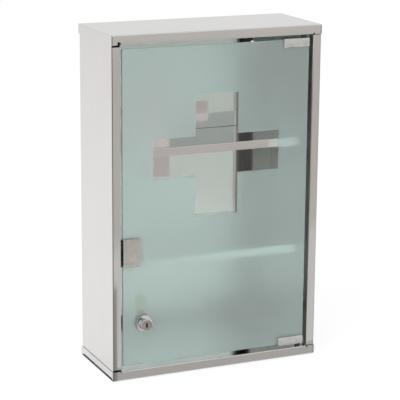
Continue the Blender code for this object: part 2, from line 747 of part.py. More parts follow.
def door_pull(door):
    """A block slotted over the edge of the glass, with a finger lip, held by a grub screw behind."""
    front = GLASS_FRONT - SEAM - PULL_FRONT
    right = PULL_LEFT + PULL_WIDTH
    low = PULL_MIDDLE_Z - PULL_HEIGHT / 2
    high = PULL_MIDDLE_Z + PULL_HEIGHT / 2
    slot_end = GLASS_LEFT - SEAM
    outline = [
        (PULL_LEFT, front),
        (right, front),
        (right, GLASS_FRONT - SEAM),
        (slot_end, GLASS_FRONT - SEAM),
        (slot_end, GLASS_BACK + SEAM),
        (right, GLASS_BACK + SEAM),
        (right, PULL_REAR),
        (PULL_LEFT, PULL_REAR),
    ]
    part = add_part("door_pull", prism(outline, "Z", low, high), CHROME, door)
    wedge = [
        (front - CUTTER_OVERRUN, low - CUTTER_OVERRUN),
        (front + PULL_LIP_DEPTH, low - CUTTER_OVERRUN),
        (front + PULL_LIP_DEPTH, low),
        (front, low + PULL_LIP_HEIGHT),
        (front - CUTTER_OVERRUN, low + PULL_LIP_HEIGHT),
    ]
    ends = (PULL_LEFT - CUTTER_OVERRUN, right + CUTTER_OVERRUN)
    combine(part, "finger_lip", prism(wedge, "X", *ends))
    soften(part, PULL_EDGE)
    place = (PULL_MIDDLE_X, PULL_MIDDLE_Z + PULL_HEIGHT / 4)
    hole_ends = (GLASS_BACK + SEAM / 2, PULL_REAR + CUTTER_OVERRUN)
    combine(part, "grub_hole", rod(GRUB_RADIUS + SEAM, "Y", place, *hole_ends))
    grub_screw("door_pull_grub", place, GLASS_BACK + SEAM, PULL_REAR - PULL_EDGE, door)


def lock_body(door):
    """The fixed half of the lock: housing through the glass, gasket, washer and nut."""
    axis = (LOCK_X, LOCK_Z)
    head_bore = PLUG_HEAD_RADIUS + SEAM
    head_seat = PLUG_FRONT + PLUG_HEAD + SEAM
    housing = [
        (head_bore, NOSE_FRONT),
        (NOSE_RADIUS - LOCK_EDGE, NOSE_FRONT),
        (NOSE_RADIUS, NOSE_FRONT + LOCK_EDGE),
        (NOSE_RADIUS, FLANGE_FRONT),
        (LOCK_FLANGE_RADIUS - LOCK_EDGE, FLANGE_FRONT),
        (LOCK_FLANGE_RADIUS, FLANGE_FRONT + LOCK_EDGE),
        (LOCK_FLANGE_RADIUS, FLANGE_BACK),
        (BARREL_RADIUS, FLANGE_BACK),
        (BARREL_RADIUS, BARREL_BACK),
        (PLUG_BORE, BARREL_BACK),
        (PLUG_BORE, head_seat),
        (head_bore, head_seat),
    ]
    add_part("lock_housing", turned(housing, "Y", axis), CHROME, door)
    gasket_front = FLANGE_BACK + SEAM
    gasket_radius = LOCK_FLANGE_RADIUS - LOCK_EDGE
    gasket = [
        (BARREL_HOLE, gasket_front),
        (gasket_radius, gasket_front),
        (gasket_radius, gasket_front + GASKET),
        (BARREL_HOLE, gasket_front + GASKET),
    ]
    add_part("lock_gasket", turned(gasket, "Y", axis), BLACK_RUBBER, door)
    washer_radius = BARREL_HOLE + WASHER_RIM
    washer = [
        (BARREL_HOLE, WASHER_FRONT),
        (washer_radius, WASHER_FRONT),
        (washer_radius, WASHER_FRONT + WASHER),
        (BARREL_HOLE, WASHER_FRONT + WASHER),
    ]
    add_part("lock_washer", turned(washer, "Y", axis), SATIN_STEEL, door)
    flats = hexagon(2 * (BARREL_HOLE + NUT_WALL), axis)
    nut = add_part("lock_nut", prism(flats, "Y", NUT_FRONT, NUT_FRONT + NUT), SATIN_STEEL, door)
    ends = (NUT_FRONT - CUTTER_OVERRUN, NUT_FRONT + NUT + CUTTER_OVERRUN)
    combine(nut, "thread", rod(BARREL_HOLE, "Y", axis, *ends, ROUND_STEPS))


def lock_plug(lock):
    """The turning plug, with its keyway and the wafers that the key lifts."""
    axis = (LOCK_X, LOCK_Z)
    plug_back = BARREL_BACK - SEAM
    profile = [
        (0, PLUG_FRONT),
        (PLUG_HEAD_RADIUS, PLUG_FRONT),
        (PLUG_HEAD_RADIUS, PLUG_FRONT + PLUG_HEAD),
        (PLUG_RADIUS, PLUG_FRONT + PLUG_HEAD),
        (PLUG_RADIUS, plug_back),
        (0, plug_back),
    ]
    part = add_part("lock_plug", turned(profile, "Y", axis), SATIN_STEEL, lock)
    half_tail = TAIL_SIDE / 2
    tail = block(
        (LOCK_X - half_tail, plug_back - TAIL_SIDE, LOCK_Z - half_tail),
        (LOCK_X + half_tail, TAIL_BACK, LOCK_Z + half_tail),
    )
    combine(part, "tail", tail, "UNION")
    keyway = block(
        (LOCK_X - KEYWAY_WIDTH / 2, PLUG_FRONT - CUTTER_OVERRUN, LOCK_Z - KEYWAY_HEIGHT / 2),
        (LOCK_X + KEYWAY_WIDTH / 2, PLUG_FRONT + KEYWAY_DEPTH, LOCK_Z + KEYWAY_HEIGHT / 2),
    )
    combine(part, "keyway", keyway)
    screw_ends = (CAM_BACK - CAM_SCREW_LENGTH, TAIL_BACK + CUTTER_OVERRUN)
    combine(part, "screw_hole", rod(CAM_SCREW_RADIUS + SEAM, "Y", axis, *screw_ends))

    half_x, half_z = WAFER_WIDTH / 2, WAFER_HALF_HEIGHT
    window_x = KEYWAY_WIDTH / 2 + SEAM
    window_z = KEYWAY_HEIGHT / 2 + SEAM
    for index in range(WAFERS):
        front = PLUG_FRONT + FIRST_WAFER + index * WAFER_PITCH
        back = front + WAFER_THICKNESS
        wafer = block(
            (LOCK_X - half_x, front, LOCK_Z - half_z),
            (LOCK_X + half_x, back, LOCK_Z + half_z),
        )
        piece = add_part(f"lock_wafer_{index + 1}", wafer, BRASS, lock)
        window = block(
            (LOCK_X - window_x, front - CUTTER_OVERRUN, LOCK_Z - window_z),
            (LOCK_X + window_x, back + CUTTER_OVERRUN, LOCK_Z + window_z),
        )
        combine(piece, "key_window", window)
        slot = block(
            (LOCK_X - half_x - SEAM, front - SEAM, LOCK_Z - PLUG_RADIUS - CUTTER_OVERRUN),
            (LOCK_X + half_x + SEAM, back + SEAM, LOCK_Z + PLUG_RADIUS + CUTTER_OVERRUN),
        )
        combine(part, f"wafer_slot_{index + 1}", slot)


def lock_cam(lock):
    """The cam on the plug's tail and its screw. It points up when open and turns behind the stile."""
    half = CAM_WIDTH / 2
    turns = [math.pi + math.pi * step / SMALL_ROUND_STEPS for step in range(SMALL_ROUND_STEPS + 1)]
    heel = [(LOCK_X + half * math.cos(a), LOCK_Z + half * math.sin(a)) for a in turns]
    tip = LOCK_Z + CAM_REACH
    toe = [
        (LOCK_X + half, tip - CAM_CORNER),
        (LOCK_X + half - CAM_CORNER, tip),
        (LOCK_X - half + CAM_CORNER, tip),
        (LOCK_X - half, tip - CAM_CORNER),
    ]
    part = add_part("lock_cam", prism(heel + toe, "Y", CAM_FRONT, CAM_BACK), YELLOW_ZINC, lock)
    half_hole = TAIL_SIDE / 2 + SEAM
    hole = block(
        (LOCK_X - half_hole, CAM_FRONT - CUTTER_OVERRUN, LOCK_Z - half_hole),
        (LOCK_X + half_hole, CAM_BACK + CUTTER_OVERRUN, LOCK_Z + half_hole),
    )
    combine(part, "tail_hole", hole)
    seat = CAM_BACK + SEAM
    length = (seat - CAM_SCREW_LENGTH, seat)
    head = (CAM_SCREW_HEAD_RADIUS, CAM_SCREW_HEAD)
    pan_screw("cam_screw", "Y", (LOCK_X, LOCK_Z), CAM_SCREW_RADIUS, *length, *head, lock)


def main():
    """Build the case, then the door on its hinge axis, then the turning half of the lock on its own."""
    clear_scene()
    cap("top_cap", CASE_HEIGHT, -1, OPEN_RELIEF)
    cap("bottom_cap", 0, 1, FOLD_RELIEF)
    side_panel("left_side_panel", -1, LOCK_STILE_GAP)
    side_panel("right_side_panel", 1, HINGE_STILE_GAP)
    back_panel()
    shelf("upper_shelf", UPPER_SHELF_TOP)
    magnet_catch(shelf("lower_shelf", LOWER_SHELF_TOP))

    door = axis_empty("door_hinge_axis", (HINGE_X, HINGE_Y, 0))
    door_glass(door)
    hinge("top", GLASS_HIGH, 1, OPENING_HIGH, door)
    hinge("bottom", GLASS_LOW, -1, OPENING_LOW, door)
    door_pull(door)
    lock_body(door)

    lock = axis_empty("lock_axis", (LOCK_X, CAM_FRONT, LOCK_Z), door)
    lock_plug(lock)
    lock_cam(lock)


main()
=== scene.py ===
"""Looks of the glass door medical cabinet.

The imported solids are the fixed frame. This script gives each of them its finish, turns the housing of
the lock as a finer surface, and sets up the studio and the camera. Lengths are in metres, the front
of the cabinet faces -Y, and +Z is up."""

import logging
import math
from dataclasses import dataclass, replace
from enum import Enum

import bpy
import numpy as np
from mathutils import Matrix, Vector


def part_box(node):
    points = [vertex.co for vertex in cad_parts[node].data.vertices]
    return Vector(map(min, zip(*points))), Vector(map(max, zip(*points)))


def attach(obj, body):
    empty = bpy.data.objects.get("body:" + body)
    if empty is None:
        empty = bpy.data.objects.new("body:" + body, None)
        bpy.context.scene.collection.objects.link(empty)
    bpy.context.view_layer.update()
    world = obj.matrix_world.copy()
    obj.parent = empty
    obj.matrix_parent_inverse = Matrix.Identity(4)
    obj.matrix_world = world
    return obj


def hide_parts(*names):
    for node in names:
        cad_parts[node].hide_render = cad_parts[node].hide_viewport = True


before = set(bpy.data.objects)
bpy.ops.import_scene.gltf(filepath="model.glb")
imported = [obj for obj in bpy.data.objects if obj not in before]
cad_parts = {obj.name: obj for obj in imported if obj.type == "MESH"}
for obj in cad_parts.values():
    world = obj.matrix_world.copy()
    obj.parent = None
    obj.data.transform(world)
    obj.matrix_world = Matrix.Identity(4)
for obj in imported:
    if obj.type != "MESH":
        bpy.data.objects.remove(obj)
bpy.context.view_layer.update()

LOG = logging.getLogger("medical_cabinet")
SMOOTH_ANGLE = math.radians(35)
WELD_DISTANCE = 2e-6
FLAT_ANGLE = math.radians(0.5)  # facets that turn less than this are one flat
MARK_SHARE = 0.6  # share of the fine marks in an uneven gloss, the rest being clouds
FAR = 10.0  # beyond the part, for a mask with no limit

Colour = tuple[float, float, float]
Triple = tuple[float, float, float]


class Grain(Enum):
    """The way that polishing lines run: their frequency along X, Y and Z, per metre."""

    ACROSS = (7.0, 620.0, 620.0)
    UP = (620.0, 620.0, 7.0)
    NONE = (260.0, 260.0, 260.0)


class Ray(Enum):
    """Kinds of light path that stage surfaces tell apart, by the names of their sockets."""

    CAMERA = "Is Camera Ray"
    GLOSSY = "Is Glossy Ray"
    TRANSMISSION = "Is Transmission Ray"
    SHARP = "Is Singular Ray"


@dataclass(frozen=True)
class Shown:
    """How bright a stage surface is: to the eye, in a mirror, through clear glass, through frosted
    glass, and as light."""

    eye: float = 0.0
    mirror: float = 0.0
    clear: float = 0.0
    frosted: float = 0.0
    light: float = 0.0


class Graph:
    """The nodes of one material or world, with the few patterns that the finishes share."""

    def __init__(self, tree: bpy.types.NodeTree) -> None:
        """Empty a node tree and keep it.

        Args:
            tree: the material's or world's nodes.
        """
        self.tree = tree
        self.tree.nodes.clear()
        self._place: bpy.types.NodeSocket | None = None

    def node(self, kind: str, **settings: object) -> bpy.types.Node:
        """Add a node.

        Args:
            kind: Blender's name for the type of node.
            settings: properties to set on it.

        Returns:
            The new node.
        """
        made = self.tree.nodes.new(kind)
        for name, value in settings.items():
            setattr(made, name, value)
        return made

    def join(self, source: bpy.types.NodeSocket, target: bpy.types.NodeSocket) -> None:
        """Link one socket to another."""
        self.tree.links.new(source, target)

    def place(self) -> bpy.types.NodeSocket:
        """Find the piece's own coordinates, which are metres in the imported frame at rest.

        Returns:
            The coordinates.
        """
        if self._place is None:
            self._place = self.node("ShaderNodeTexCoord").outputs["Object"]
        return self._place

    def noise(self, frequency: Triple, detail: float = 2.0) -> bpy.types.NodeSocket:
        """Make cloudy noise, stretched by its own frequency on each axis.

        Args:
            frequency: waves per metre along X, Y and Z.
            detail: how many finer layers lie on it.

        Returns:
            A value about 0.5, from 0 to 1.
        """
        mapping = self.node("ShaderNodeMapping")
        mapping.inputs["Scale"].default_value = frequency
        self.join(self.place(), mapping.inputs["Vector"])
        noise = self.node("ShaderNodeTexNoise")
        noise.inputs["Scale"].default_value = 1.0
        noise.inputs["Detail"].default_value = detail
        self.join(mapping.outputs["Vector"], noise.inputs["Vector"])
        return noise.outputs["Fac"]

    def rings(self, centre: Triple, frequency: float) -> bpy.types.NodeSocket:
        """Make turning marks: noise on the distance from a line along Y.

        Args:
            centre: a point on the line.
            frequency: rings per metre of radius.

        Returns:
            A value about 0.5, from 0 to 1.
        """
        offset = self.node("ShaderNodeVectorMath", operation="SUBTRACT")
        offset.inputs[1].default_value = centre
        self.join(self.place(), offset.inputs[0])
        flat = self.node("ShaderNodeVectorMath", operation="MULTIPLY")
        flat.inputs[1].default_value = (1.0, 0.0, 1.0)
        self.join(offset.outputs["Vector"], flat.inputs[0])
        radius = self.node("ShaderNodeVectorMath", operation="LENGTH")
        self.join(flat.outputs["Vector"], radius.inputs[0])
        noise = self.node("ShaderNodeTexNoise", noise_dimensions="1D")
        noise.inputs["Scale"].default_value = frequency
        noise.inputs["Detail"].default_value = 2.0
        self.join(radius.outputs["Value"], noise.inputs["W"])
        return noise.outputs["Fac"]

    def spread(
        self, value: bpy.types.NodeSocket, low: float, high: float, reach: float = 0.2
    ) -> bpy.types.NodeSocket:
        """Carry noise to a range of values.

        Args:
            value: noise about 0.5.
            low: the result where the noise is at 0.5 - reach or under.
            high: the result where the noise is at 0.5 + reach or over.
            reach: how much of the noise is used, either side of its middle.

        Returns:
            The carried value.
        """
        carried = self.node("ShaderNodeMapRange")
        carried.inputs["From Min"].default_value = 0.5 - reach
        carried.inputs["From Max"].default_value = 0.5 + reach
        carried.inputs["To Min"].default_value = low
        carried.inputs["To Max"].default_value = high
        self.join(value, carried.inputs["Value"])
        return carried.outputs["Result"]

    def maths(
        self, operation: str, first: bpy.types.NodeSocket | float, second: bpy.types.NodeSocket | float
    ) -> bpy.types.NodeSocket:
        """Work out one sum.

        Args:
            operation: Blender's name for it, such as ADD.
            first: a value or a plain number.
            second: the same.

        Returns:
            The result.
        """
        made = self.node("ShaderNodeMath", operation=operation)
        for value, socket in zip((first, second), made.inputs):
            if isinstance(value, bpy.types.NodeSocket):
                self.join(value, socket)
            else:
                socket.default_value = value
        return made.outputs["Value"]

    def inverse(self, value: bpy.types.NodeSocket) -> bpy.types.NodeSocket:
        """Give 1 less a value."""
        return self.maths("SUBTRACT", 1.0, value)

    def uneven(self, marks: bpy.types.NodeSocket, clouds: bpy.types.NodeSocket) -> bpy.types.NodeSocket:
        """Mix the noise of fine marks with that of clouds, by MARK_SHARE."""
        fine = self.maths("MULTIPLY", marks, MARK_SHARE)
        return self.maths("ADD", fine, self.maths("MULTIPLY", clouds, 1.0 - MARK_SHARE))

    def blend(
        self, factor: bpy.types.NodeSocket, first: bpy.types.NodeSocket | Colour, second: Colour
    ) -> bpy.types.NodeSocket:
        """Mix two colours.

        Args:
            factor: 0 for the first, 1 for the second.
            first: the colour at 0, plain or from a node.
            second: the colour at 1.

        Returns:
            The mixed colour.
        """
        mix = self.node("ShaderNodeMix", data_type="RGBA")
        start, end = (s for s in mix.inputs if s.type == "RGBA")
        if isinstance(first, bpy.types.NodeSocket):
            self.join(first, start)
        else:
            start.default_value = (*first, 1.0)
        end.default_value = (*second, 1.0)
        self.join(factor, mix.inputs["Factor"])
        return next(s for s in mix.outputs if s.type == "RGBA")

    def within(self, low: Triple, high: Triple) -> bpy.types.NodeSocket:
        """Give 1 inside a box, and 0 outside.

        Args:
            low: the box's lower corner.
            high: its upper corner.

        Returns:
            The mask.
        """
        middle = (np.array(low) + high) / 2
        half = (np.array(high) - low) / 2
        offset = self.node("ShaderNodeVectorMath", operation="SUBTRACT")
        offset.inputs[1].default_value = middle
        self.join(self.place(), offset.inputs[0])
        away = self.node("ShaderNodeVectorMath", operation="ABSOLUTE")
        self.join(offset.outputs["Vector"], away.inputs[0])
        split = self.node("ShaderNodeSeparateXYZ")
        self.join(away.outputs["Vector"], split.inputs["Vector"])
        x, y, z = (
            self.maths("LESS_THAN", split.outputs[axis], float(reach))
            for axis, reach in zip("XYZ", half)
        )
        return self.maths("MULTIPLY", self.maths("MULTIPLY", x, y), z)

    def bump(
        self,
        height: bpy.types.NodeSocket,
        distance: float,
        under: bpy.types.NodeSocket | None = None,
    ) -> bpy.types.NodeSocket:
        """Raise a surface's shading by a height.

        Args:
            height: noise from 0 to 1.
            distance: metres that 1 stands above 0.
            under: the normal of a coarser bump below this one.

        Returns:
            The bumped normal.
        """
        made = self.node("ShaderNodeBump")
        made.inputs["Strength"].default_value = 1.0
        made.inputs["Distance"].default_value = distance
        self.join(height, made.inputs["Height"])
        if under is not None:
            self.join(under, made.inputs["Normal"])
        return made.outputs["Normal"]

    def seen_by(self, shown: Shown) -> bpy.types.NodeSocket:
        """Give the strength that each kind of light path sees.

        A ray that went through glass counts as one in a mirror too, so the mirror's share leaves
        it out.

        Args:
            shown: the strength for each kind of path.

        Returns:
            The strength.
        """
        path = self.node("ShaderNodeLightPath")
        eye, mirror, glass, sharp = (path.outputs[ray.value] for ray in Ray)
        bounced = self.maths("MULTIPLY", mirror, self.inverse(glass))
        clear = self.maths("MULTIPLY", glass, sharp)
        frosted = self.maths("SUBTRACT", glass, clear)
        total = self.maths("MULTIPLY", eye, shown.eye - shown.light)
        for ray, strength in ((bounced, shown.mirror), (clear, shown.clear), (frosted, shown.frosted)):
            total = self.maths("ADD", total, self.maths("MULTIPLY", ray, strength - shown.light))
        return self.maths("ADD", total, shown.light)


class Surface(Graph):
    """A material round one Principled shader."""

    def __init__(self, name: str, **values: float) -> None:
        """Start a material.

        Args:
            name: its name.
            values: constants for the shader's sockets, with _ for each space.
        """
        self.material = bpy.data.materials.new(name)
        self.material.use_nodes = True
        super().__init__(self.material.node_tree)
        self.shader = self.node("ShaderNodeBsdfPrincipled")
        self.output = self.node("ShaderNodeOutputMaterial")
        self.join(self.shader.outputs["BSDF"], self.output.inputs["Surface"])
        for socket, value in values.items():
            self.shader.inputs[socket.replace("_", " ")].default_value = value

    def drive(self, socket: str, source: bpy.types.NodeSocket) -> None:
        """Link a value to one of the shader's sockets."""
        self.join(source, self.shader.inputs[socket])


@dataclass(frozen=True)
class Box:
    """A box from its lower corner to its upper one."""

    low: Triple
    high: Triple


@dataclass(frozen=True)
class SheetSteel:
    """Rolled stainless sheet: polishing lines along the grain, faint clouds, and a slow waviness
    that bends reflections as thin sheet does.

    Only the flats that show are polished: faces in the given boxes take a dark, matt finish, partly the
    mill finish of unpolished sheet and partly painted shade in its folds, joints and returns."""

    name: str
    colour: Colour
    shade: Colour
    gloss: tuple[float, float]
    grain: Grain
    mill_and_shade_boxes: tuple[Box, ...] = ()
    cloud_frequency: float = 14.0
    line_height: float = 4e-7
    wave_height: float = 2.5e-4
    wave_frequency: Triple = (9.0, 9.0, 7.0)
    # the boxes' dark colour: mill finish, with painted shade for folds, joints and returns
    mill_and_shade_colour: Colour = (0.30, 0.295, 0.285)
    dull_gloss: float = 0.45

    def material(self) -> bpy.types.Material:
        """Make the material.

        Returns:
            The material.
        """
        made = Surface(self.name, Metallic=1.0)
        clouds = made.noise((self.cloud_frequency,) * 3, detail=4.0)
        lines = made.noise(self.grain.value, detail=3.0)
        mixed = made.uneven(lines, clouds)
        colour = made.blend(made.spread(mixed, 0, 1), self.colour, self.shade)
        gloss = made.spread(mixed, *self.gloss)
        # painted shade: inside each box the steel takes the dark mill colour
        for box in self.mill_and_shade_boxes:
            inside = made.within(box.low, box.high)
            colour = made.blend(inside, colour, self.mill_and_shade_colour)
            gloss = made.maths("MAXIMUM", gloss, made.maths("MULTIPLY", inside, self.dull_gloss))
        made.drive("Base Color", colour)
        made.drive("Roughness", gloss)
        wave = made.bump(made.noise(self.wave_frequency, detail=1.0), self.wave_height)
        made.drive("Normal", made.bump(lines, self.line_height, wave))
        return made.material


@dataclass(frozen=True)
class PlatedMetal:
    """Small metal parts: plated, turned or stamped, with fine marks and a cloudy tint."""

    name: str
    colour: Colour
    shade: Colour
    gloss: tuple[float, float]
    grain: Grain = Grain.NONE
    mark_height: float = 6e-7
    cloud_frequency: float = 120.0
    turned_about: Triple | None = None
    ring_frequency: float = 5200.0

    def material(self) -> bpy.types.Material:
        """Make the material.

        Returns:
            The material.
        """
        made = Surface(self.name, Metallic=1.0)
        clouds = made.noise((self.cloud_frequency,) * 3, detail=4.0)
        if self.turned_about is None:
            marks = made.noise(self.grain.value, detail=3.0)
        else:
            marks = made.rings(self.turned_about, self.ring_frequency)
        made.drive("Base Color", made.blend(made.spread(clouds, 0, 1), self.colour, self.shade))
        made.drive("Roughness", made.spread(made.uneven(marks, clouds), *self.gloss))
        made.drive("Normal", made.bump(marks, self.mark_height))
        return made.material


@dataclass(frozen=True)
class Cross:
    """The clear cross: its middle on X and Z, and half the length and width of its two bars."""

    x: float
    z: float
    half_width: float
    half_height: float
    half_post: float
    half_bar: float


@dataclass(frozen=True)
class EtchedGlass:
    """Float glass, etched but for the clear cross.

    The frost scatters light through the pane and throws some of it back, so the front face takes a
    milky share, and the etched back only blurs. The cross is quite smooth, so that stage surfaces can
    tell light that came through it from light that came through the frost."""

    name: str
    clear: Colour
    milk: Colour
    front_gloss: tuple[float, float]
    back_gloss: tuple[float, float]
    milk_share: float
    edge_share: float
    front_y: float
    back_y: float
    cross: Cross
    edge_margin: float = 0.0003
    ior: float = 1.5
    cloud_frequency: float = 16.0
    grain_frequency: float = 900.0
    grain_height: float = 1.5e-6

    def bar(self, made: Surface, half_x: float, half_z: float) -> bpy.types.NodeSocket:
        """Give 1 inside one bar of the cross, from half its sides, and 0 outside."""
        x, z = self.cross.x, self.cross.z
        return made.within((x - half_x, -FAR, z - half_z), (x + half_x, FAR, z + half_z))

    def material(self) -> bpy.types.Material:
        """Make the material.

        Returns:
            The material.
        """
        made = Surface(self.name, Metallic=0.0, IOR=self.ior)
        cross = self.cross
        post = self.bar(made, cross.half_post, cross.half_height)
        level = self.bar(made, cross.half_width, cross.half_bar)
        frost = made.maths("LESS_THAN", made.maths("ADD", post, level), 0.5)
        middle = (self.front_y + self.back_y) / 2
        front = made.within((-FAR, -FAR, -FAR), (FAR, middle, FAR))
        edge_start = self.front_y + self.edge_margin
        edge_end = self.back_y - self.edge_margin
        edge = made.within((-FAR, edge_start, -FAR), (FAR, edge_end, FAR))
        clouds = made.noise((self.cloud_frequency,) * 3, detail=3.0)
        grain = made.noise((self.grain_frequency,) * 3, detail=3.0)
        made.drive("Base Color", made.blend(frost, self.clear, self.milk))
        gloss_front = made.maths("MULTIPLY", made.spread(clouds, *self.front_gloss), front)
        gloss_back = made.maths("MULTIPLY", made.spread(clouds, *self.back_gloss), made.inverse(front))
        gloss = made.maths("MULTIPLY", made.maths("ADD", gloss_front, gloss_back), frost)
        made.drive("Roughness", gloss)
        milky = made.maths("MULTIPLY", made.maths("MULTIPLY", frost, front), self.milk_share)
        milky = made.maths("MAXIMUM", milky, made.maths("MULTIPLY", edge, self.edge_share))
        made.drive("Transmission Weight", made.inverse(milky))
        made.drive("Normal", made.bump(made.maths("MULTIPLY", grain, frost), self.grain_height))
        return made.material


@dataclass(frozen=True)
class Moulded:
    """Moulded plastic or rubber: a fine spark-eroded texture, a cloudy tint and an uneven gloss."""

    name: str
    colour: Colour
    shade: Colour
    gloss: tuple[float, float]
    texture_frequency: float = 900.0
    texture_height: float = 1.2e-5
    cloud_frequency: float = 90.0

    def material(self) -> bpy.types.Material:
        """Make the material.

        Returns:
            The material.
        """
        made = Surface(self.name, Metallic=0.0)
        clouds = made.noise((self.cloud_frequency,) * 3, detail=4.0)
        grain = made.noise((self.texture_frequency,) * 3, detail=2.0)
        made.drive("Base Color", made.blend(made.spread(clouds, 0, 1), self.colour, self.shade))
        made.drive("Roughness", made.spread(grain, *self.gloss))
        made.drive("Normal", made.bump(grain, self.texture_height))
        return made.material


Finish = SheetSteel | PlatedMetal | EtchedGlass | Moulded


def smoothing_nodes() -> bpy.types.NodeTree:
    """Make geometry nodes that shade a piece smooth, apart from edges sharper than SMOOTH_ANGLE.

    Returns:
        The group of nodes, for a modifier.
    """
    group = bpy.data.node_groups.new("smooth_but_for_corners", "GeometryNodeTree")
    for way in ("INPUT", "OUTPUT"):
        group.interface.new_socket("Geometry", in_out=way, socket_type="NodeSocketGeometry")
    start = group.nodes.new("NodeGroupInput")
    end = group.nodes.new("NodeGroupOutput")
    faces = group.nodes.new("GeometryNodeSetShadeSmooth")
    faces.domain = "FACE"
    corners = group.nodes.new("GeometryNodeSetShadeSmooth")
    corners.domain = "EDGE"
    corners.inputs["Shade Smooth"].default_value = False
    angle = group.nodes.new("GeometryNodeInputMeshEdgeAngle")
    sharper = group.nodes.new("FunctionNodeCompare")
    sharper.data_type = "FLOAT"
    sharper.operation = "GREATER_THAN"
    sharper.inputs["B"].default_value = SMOOTH_ANGLE
    join = group.links.new
    join(angle.outputs["Unsigned Angle"], sharper.inputs["A"])
    join(sharper.outputs["Result"], corners.inputs["Selection"])
    join(start.outputs["Geometry"], faces.inputs["Geometry"])
    join(faces.outputs["Geometry"], corners.inputs["Geometry"])
    join(corners.outputs["Geometry"], end.inputs["Geometry"])
    return group


class Dresser:
    """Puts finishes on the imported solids, whose own meshes stay as they are."""

    def __init__(self) -> None:
        """Make the shared smoothing group and an empty shelf of finished materials."""
        self.smoothing = smoothing_nodes()
        self.made: dict[str, bpy.types.Material] = {}

    def material(self, finish: Finish) -> bpy.types.Material:
        """Find a finish's material, which is made once.

        Args:
            finish: the finish.

        Returns:
            Its material.
        """
        if finish.name not in self.made:
            self.made[finish.name] = finish.material()
        return self.made[finish.name]

    def dress(self, node: str, finish: Finish) -> None:
        """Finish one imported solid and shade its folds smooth.

        Args:
            node: the solid's name.
            finish: what it is finished with.
        """
        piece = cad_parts[node]
        piece.data.materials.clear()
        piece.data.materials.append(self.material(finish))
        self.shade(piece)
        LOG.info("dressed %s with %s", node, finish.name)

    def shade(self, piece: bpy.types.Object) -> None:
        """Join a piece's loose triangles in modifiers and shade its rounds smooth.

        Args:
            piece: the piece.
        """
        weld = piece.modifiers.new("joined", "WELD")
        weld.merge_threshold = WELD_DISTANCE
        flat = piece.modifiers.new("whole_flats", "DECIMATE")
        flat.decimate_type = "DISSOLVE"
        flat.angle_limit = FLAT_ANGLE
        smooth = piece.modifiers.new("smooth", "NODES")
        smooth.node_group = self.smoothing
        weighted = piece.modifiers.new("flat_faces_stay_flat", "WEIGHTED_NORMAL")
        weighted.keep_sharp = True


def rounded_profile(corners: np.ndarray, fillets: np.ndarray, steps: int) -> np.ndarray:
    """Round the corners of a closed profile.

    A corner P becomes the curve (1-t)^2 Q + 2 t (1-t) P + t^2 R, where Q and R lie on its two sides
    at the fillet's length from P, and t runs from 0 to 1.

    Args:
        corners: the profile's points, one a row.
        fillets: a length for each corner.
        steps: points on each curve.

    Returns:
        The rounded profile's points, one a row.
    """
    behind = np.roll(corners, 1, axis=0) - corners
    ahead = np.roll(corners, -1, axis=0) - corners
    start = corners + behind * (fillets / np.linalg.norm(behind, axis=1))[:, None]
    end = corners + ahead * (fillets / np.linalg.norm(ahead, axis=1))[:, None]
    t = np.linspace(0.0, 1.0, steps)[None, :, None]
    curve = (1 - t) ** 2 * start[:, None] + 2 * t * (1 - t) * corners[:, None] + t**2 * end[:, None]
    return curve.reshape(-1, 2)


def turned_surface(
    name: str, profile: np.ndarray, centre: tuple[float, float], steps: int
) -> bpy.types.Object:
    """Turn a closed profile about a line along Y.

    The point at angle a and profile place (r, y) is (X + r cos a, y, Z + r sin a), and both ways
    round close on themselves.

    Args:
        name: the piece's name.
        profile: rows of (radius, place along Y), going round with the solid on the left.
        centre: X and Z of the line.
        steps: how many places round the line.

    Returns:
        The piece, at the origin.
    """
    count = len(profile)
    angle = np.linspace(0.0, 2 * math.pi, steps, endpoint=False)[:, None]
    radius, along = profile[None, :, 0], profile[None, :, 1]
    points = np.stack(
        [
            centre[0] + radius * np.cos(angle),
            np.broadcast_to(along, (steps, count)),
            centre[1] + radius * np.sin(angle),
        ],
        axis=-1,
    ).reshape(-1, 3)
    index = np.arange(steps * count).reshape(steps, count)
    across = np.roll(index, -1, axis=1)
    quads = np.stack(
        [index, np.roll(index, -1, axis=0), np.roll(across, -1, axis=0), across], axis=-1
    ).reshape(-1, 4)
    mesh = bpy.data.meshes.new(name)
    mesh.from_pydata(points.tolist(), [], quads.tolist())
    mesh.update()
    mesh.shade_smooth()
    piece = bpy.data.objects.new(name, mesh)
    bpy.context.scene.collection.objects.link(piece)
    return piece


POLISHED = (0.80, 0.79, 0.775)
POLISHED_SHADE = (0.755, 0.745, 0.73)

BACK_STEEL = SheetSteel("polished_back", POLISHED, POLISHED_SHADE, (0.04, 0.08), Grain.UP)
SHELF_STEEL = SheetSteel("polished_shelf", (0.87, 0.865, 0.85), POLISHED, (0.10, 0.17), Grain.ACROSS)
CLAMP_CHROME = PlatedMetal(
    "brushed_chrome",
    (0.88, 0.88, 0.87),
    (0.70, 0.70, 0.69),
    (0.20, 0.30),
    grain=Grain.ACROSS,
    mark_height=1.5e-7,
)
PULL_CHROME = PlatedMetal(
    "satin_chrome",
    (0.70, 0.68, 0.65),
    (0.63, 0.61, 0.58),
    (0.14, 0.24),
    grain=Grain.UP,
    mark_height=2e-7,
)
HOUSING_CHROME = PlatedMetal("turned_chrome", (0.82, 0.82, 0.82), (0.76, 0.76, 0.77), (0.03, 0.08))
PLUG_STEEL = PlatedMetal("turned_steel", (0.52, 0.48, 0.46), (0.42, 0.39, 0.37), (0.24, 0.38))
SCREW_CHROME = PlatedMetal("bright_screw", (0.80, 0.80, 0.80), (0.72, 0.72, 0.73), (0.10, 0.22))
PLAIN_STEEL = PlatedMetal("plain_steel", (0.66, 0.66, 0.65), (0.58, 0.58, 0.57), (0.26, 0.42))
ZINC = PlatedMetal("yellow_zinc", (0.70, 0.66, 0.46), (0.62, 0.60, 0.47), (0.26, 0.42))
WAFER_BRASS = PlatedMetal("wafer_brass", (0.74, 0.57, 0.29), (0.62, 0.46, 0.22), (0.22, 0.38))
